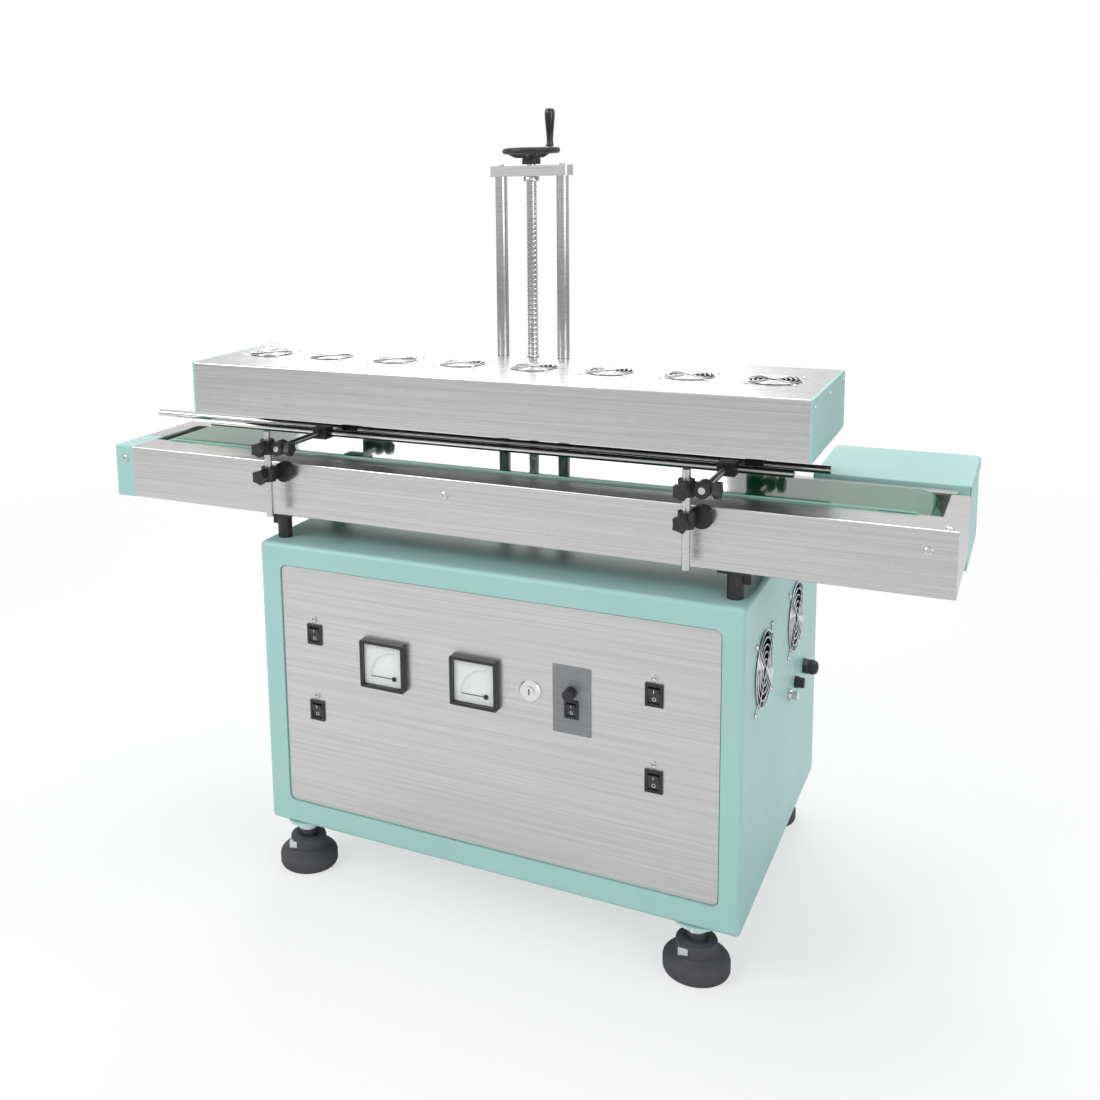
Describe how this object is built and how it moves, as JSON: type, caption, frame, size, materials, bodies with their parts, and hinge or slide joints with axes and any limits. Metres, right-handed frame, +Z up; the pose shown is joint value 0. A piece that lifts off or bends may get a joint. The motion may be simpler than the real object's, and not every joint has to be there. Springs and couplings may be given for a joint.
{
  "type": "induction sealing machine",
  "caption": "Belt conveyor with guide rails under a fan-cooled induction sealing head, raised by a handwheel screw on guide columns, standing on a sheet-metal cabinet with levelling feet.",
  "frame": {"origin": "on the floor, in the middle of the machine's footprint", "axes": "+X along the belt from infeed to outfeed, +Y from the control panel to the back, +Z up"},
  "size_m": [1.41, 0.614, 1.2895],
  "materials": {
    "cabinet_paint": "satin powder coat",
    "foot_black": "moulded plastic, low sheen",
    "stainless": "brushed",
    "head_stainless": "brushed, bright",
    "end_plate_paint": "satin powder coat",
    "belt_green": "glossy green belt cover",
    "chrome": "polished",
    "black_plastic": "moulded plastic",
    "rocker_black": "moulded plastic, glossy",
    "meter_black": "moulded plastic",
    "needle_red": "painted",
    "controller_dark": "moulded plastic",
    "rubber": "moulded rubber",
    "plain_steel": "turned",
    "bed_steel": "milled sheet",
    "motor_grey": "cast",
    "copper": "copper tube",
    "grip_black": "moulded plastic"
  },
  "bodies": {
    "frame": {"cabinet_body": "cabinet_paint", "front_panel": "stainless", "rear_cover": "cabinet_paint", "levelling_feet": "foot_black", "conveyor_frame": "stainless", "conveyor_end_cap": "cabinet_paint", "slider_bed": "bed_steel", "conveyor_belt": "belt_green", "motor_box": "cabinet_paint", "gear_motor": "motor_grey", "conveyor_mounts": "rubber", "lift_columns": "chrome", "top_plate": "head_stainless", "switch_bezels": "black_plastic", "meter_housings": "meter_black", "key_lock_body": "chrome", "controller_plate": "controller_dark", "side_fan_frames": "black_plastic", "side_fan_guards": "chrome", "guide_posts": "head_stainless", "post_clamps": "black_plastic", "side_fittings": "black_plastic"},
    "head": {"head_cover": "head_stainless", "head_end_plates": "end_plate_paint", "head_base_plate": "black_plastic", "head_carriage": "plain_steel", "induction_coil": "copper", "top_fan_frames": "black_plastic", "top_fan_guards": "chrome"},
    "screw": {"lead_screw": "plain_steel", "handwheel": "grip_black"},
    "grip": {"handwheel_grip": "grip_black"},
    "drive_drum": {"drive_roller": "plain_steel"},
    "tail_drum": {"tail_roller": "plain_steel"},
    "box_lid": {"motor_box_lid": "cabinet_paint"},
    "speed_dial": {"speed_knob": "black_plastic"},
    "key": {"key_cylinder": "chrome"},
    "front_guide_height": {"front_cross_clamps": "black_plastic"},
    "front_guide": {"front_guide_rail": "head_stainless", "front_rail_clamps": "black_plastic"},
    "rear_guide_height": {"rear_cross_clamps": "black_plastic"},
    "rear_guide": {"rear_guide_rail": "head_stainless", "rear_rail_clamps": "black_plastic"},
    "top_rotor_1": {"top_fan_rotor_1": "black_plastic"},
    "top_rotor_2": {"top_fan_rotor_2": "black_plastic"},
    "top_rotor_3": {"top_fan_rotor_3": "black_plastic"},
    "top_rotor_4": {"top_fan_rotor_4": "black_plastic"},
    "top_rotor_5": {"top_fan_rotor_5": "black_plastic"},
    "top_rotor_6": {"top_fan_rotor_6": "black_plastic"},
    "top_rotor_7": {"top_fan_rotor_7": "black_plastic"},
    "top_rotor_8": {"top_fan_rotor_8": "black_plastic"},
    "side_rotor_1": {"side_fan_rotor_1": "black_plastic"},
    "side_rotor_2": {"side_fan_rotor_2": "black_plastic"},
    "switch_1": {"switch_rocker_1": "rocker_black"},
    "switch_2": {"switch_rocker_2": "rocker_black"},
    "switch_3": {"switch_rocker_3": "rocker_black"},
    "switch_4": {"switch_rocker_4": "rocker_black"},
    "controller_switch": {"controller_rocker": "rocker_black"},
    "needle_1": {"meter_needle_1": "needle_red"},
    "needle_2": {"meter_needle_2": "needle_red"}
  },
  "joints": [
    {"name": "screw_turn", "type": "hinge", "parent": "frame", "child": "screw", "pos_m": [0.026, -0.009, 1.18], "axis": [0, 0, 1], "range_deg": [-226, 11251]},
    {"name": "head_slide", "type": "slide", "parent": "frame", "child": "head", "axis": [0, 0, 1], "range_m": [-0.005, 0.25]},
    {"name": "grip_spin", "type": "hinge", "parent": "screw", "child": "grip", "pos_m": [0.04375, 0.02907, 1.26], "axis": [0, 0, 1], "continuous": true},
    {"name": "drive_roller_spin", "type": "hinge", "parent": "frame", "child": "drive_drum", "pos_m": [0.6397, -0.117, 0.691], "axis": [0, 1, 0], "continuous": true},
    {"name": "tail_roller_spin", "type": "hinge", "parent": "frame", "child": "tail_drum", "pos_m": [-0.6077, -0.117, 0.691], "axis": [0, 1, 0], "continuous": true},
    {"name": "top_fan_1_spin", "type": "hinge", "parent": "head", "child": "top_rotor_1", "pos_m": [-0.42675, -0.118, 0.869], "axis": [0, 0, 1], "continuous": true},
    {"name": "top_fan_2_spin", "type": "hinge", "parent": "head", "child": "top_rotor_2", "pos_m": [-0.30225, -0.118, 0.869], "axis": [0, 0, 1], "continuous": true},
    {"name": "top_fan_3_spin", "type": "hinge", "parent": "head", "child": "top_rotor_3", "pos_m": [-0.17775, -0.118, 0.869], "axis": [0, 0, 1], "continuous": true},
    {"name": "top_fan_4_spin", "type": "hinge", "parent": "head", "child": "top_rotor_4", "pos_m": [-0.05325, -0.118, 0.869], "axis": [0, 0, 1], "continuous": true},
    {"name": "top_fan_5_spin", "type": "hinge", "parent": "head", "child": "top_rotor_5", "pos_m": [0.07125, -0.118, 0.869], "axis": [0, 0, 1], "continuous": true},
    {"name": "top_fan_6_spin", "type": "hinge", "parent": "head", "child": "top_rotor_6", "pos_m": [0.19575, -0.118, 0.869], "axis": [0, 0, 1], "continuous": true},
    {"name": "top_fan_7_spin", "type": "hinge", "parent": "head", "child": "top_rotor_7", "pos_m": [0.32025, -0.118, 0.869], "axis": [0, 0, 1], "continuous": true},
    {"name": "top_fan_8_spin", "type": "hinge", "parent": "head", "child": "top_rotor_8", "pos_m": [0.44475, -0.118, 0.869], "axis": [0, 0, 1], "continuous": true},
    {"name": "side_fan_1_spin", "type": "hinge", "parent": "frame", "child": "side_rotor_1", "pos_m": [0.431, -0.143, 0.452], "axis": [1, 0, 0], "continuous": true},
    {"name": "side_fan_2_spin", "type": "hinge", "parent": "frame", "child": "side_rotor_2", "pos_m": [0.431, 0.095, 0.452], "axis": [1, 0, 0], "continuous": true},
    {"name": "switch_1_tilt", "type": "hinge", "parent": "frame", "child": "switch_1", "pos_m": [-0.265, -0.263, 0.436], "axis": [1, 0, 0], "range_deg": [-20, 0]},
    {"name": "switch_2_tilt", "type": "hinge", "parent": "frame", "child": "switch_2", "pos_m": [-0.265, -0.263, 0.302], "axis": [1, 0, 0], "range_deg": [-20, 0]},
    {"name": "switch_3_tilt", "type": "hinge", "parent": "frame", "child": "switch_3", "pos_m": [0.3145, -0.263, 0.436], "axis": [1, 0, 0], "range_deg": [-20, 0]},
    {"name": "switch_4_tilt", "type": "hinge", "parent": "frame", "child": "switch_4", "pos_m": [0.3145, -0.263, 0.302], "axis": [1, 0, 0], "range_deg": [-20, 0]},
    {"name": "controller_switch_tilt", "type": "hinge", "parent": "frame", "child": "controller_switch", "pos_m": [0.188, -0.26536, 0.3905], "axis": [1, 0, 0], "range_deg": [-20, 0]},
    {"name": "speed_knob_turn", "type": "hinge", "parent": "frame", "child": "speed_dial", "pos_m": [0.188, -0.265, 0.418], "axis": [0, -1, 0], "range_deg": [-150, 150]},
    {"name": "key_turn", "type": "hinge", "parent": "frame", "child": "key", "pos_m": [0.121, -0.265, 0.407], "axis": [0, -1, 0], "range_deg": [-90, 0]},
    {"name": "needle_1_swing", "type": "hinge", "parent": "frame", "child": "needle_1", "pos_m": [-0.113, -0.271, 0.3855], "axis": [0, 1, 0], "range_deg": [0, 90], "stiffness_Nm_per_rad": 0.00005},
    {"name": "needle_2_swing", "type": "hinge", "parent": "frame", "child": "needle_2", "pos_m": [0.049, -0.271, 0.3855], "axis": [0, 1, 0], "range_deg": [0, 90], "stiffness_Nm_per_rad": 0.00005},
    {"name": "lid_lift", "type": "slide", "parent": "frame", "child": "box_lid", "axis": [0, 0, 1], "range_m": [0, 0.05]},
    {"name": "front_guide_raise", "type": "slide", "parent": "frame", "child": "front_guide_height", "axis": [0, 0, 1], "range_m": [-0.014, 0.012]},
    {"name": "front_guide_reach", "type": "slide", "parent": "front_guide_height", "child": "front_guide", "axis": [0, 1, 0], "range_m": [-0.04, 0.008]},
    {"name": "rear_guide_raise", "type": "slide", "parent": "frame", "child": "rear_guide_height", "axis": [0, 0, 1], "range_m": [-0.014, 0.012]},
    {"name": "rear_guide_reach", "type": "slide", "parent": "rear_guide_height", "child": "rear_guide", "axis": [0, 1, 0], "range_m": [-0.008, 0.04]}
  ],
  "couplings": [
    {"joint": "screw_turn", "follows": "head_slide", "rad_per_m": 785.4},
    {"joint": "tail_roller_spin", "follows": "drive_roller_spin", "ratio": 1}
  ]
}
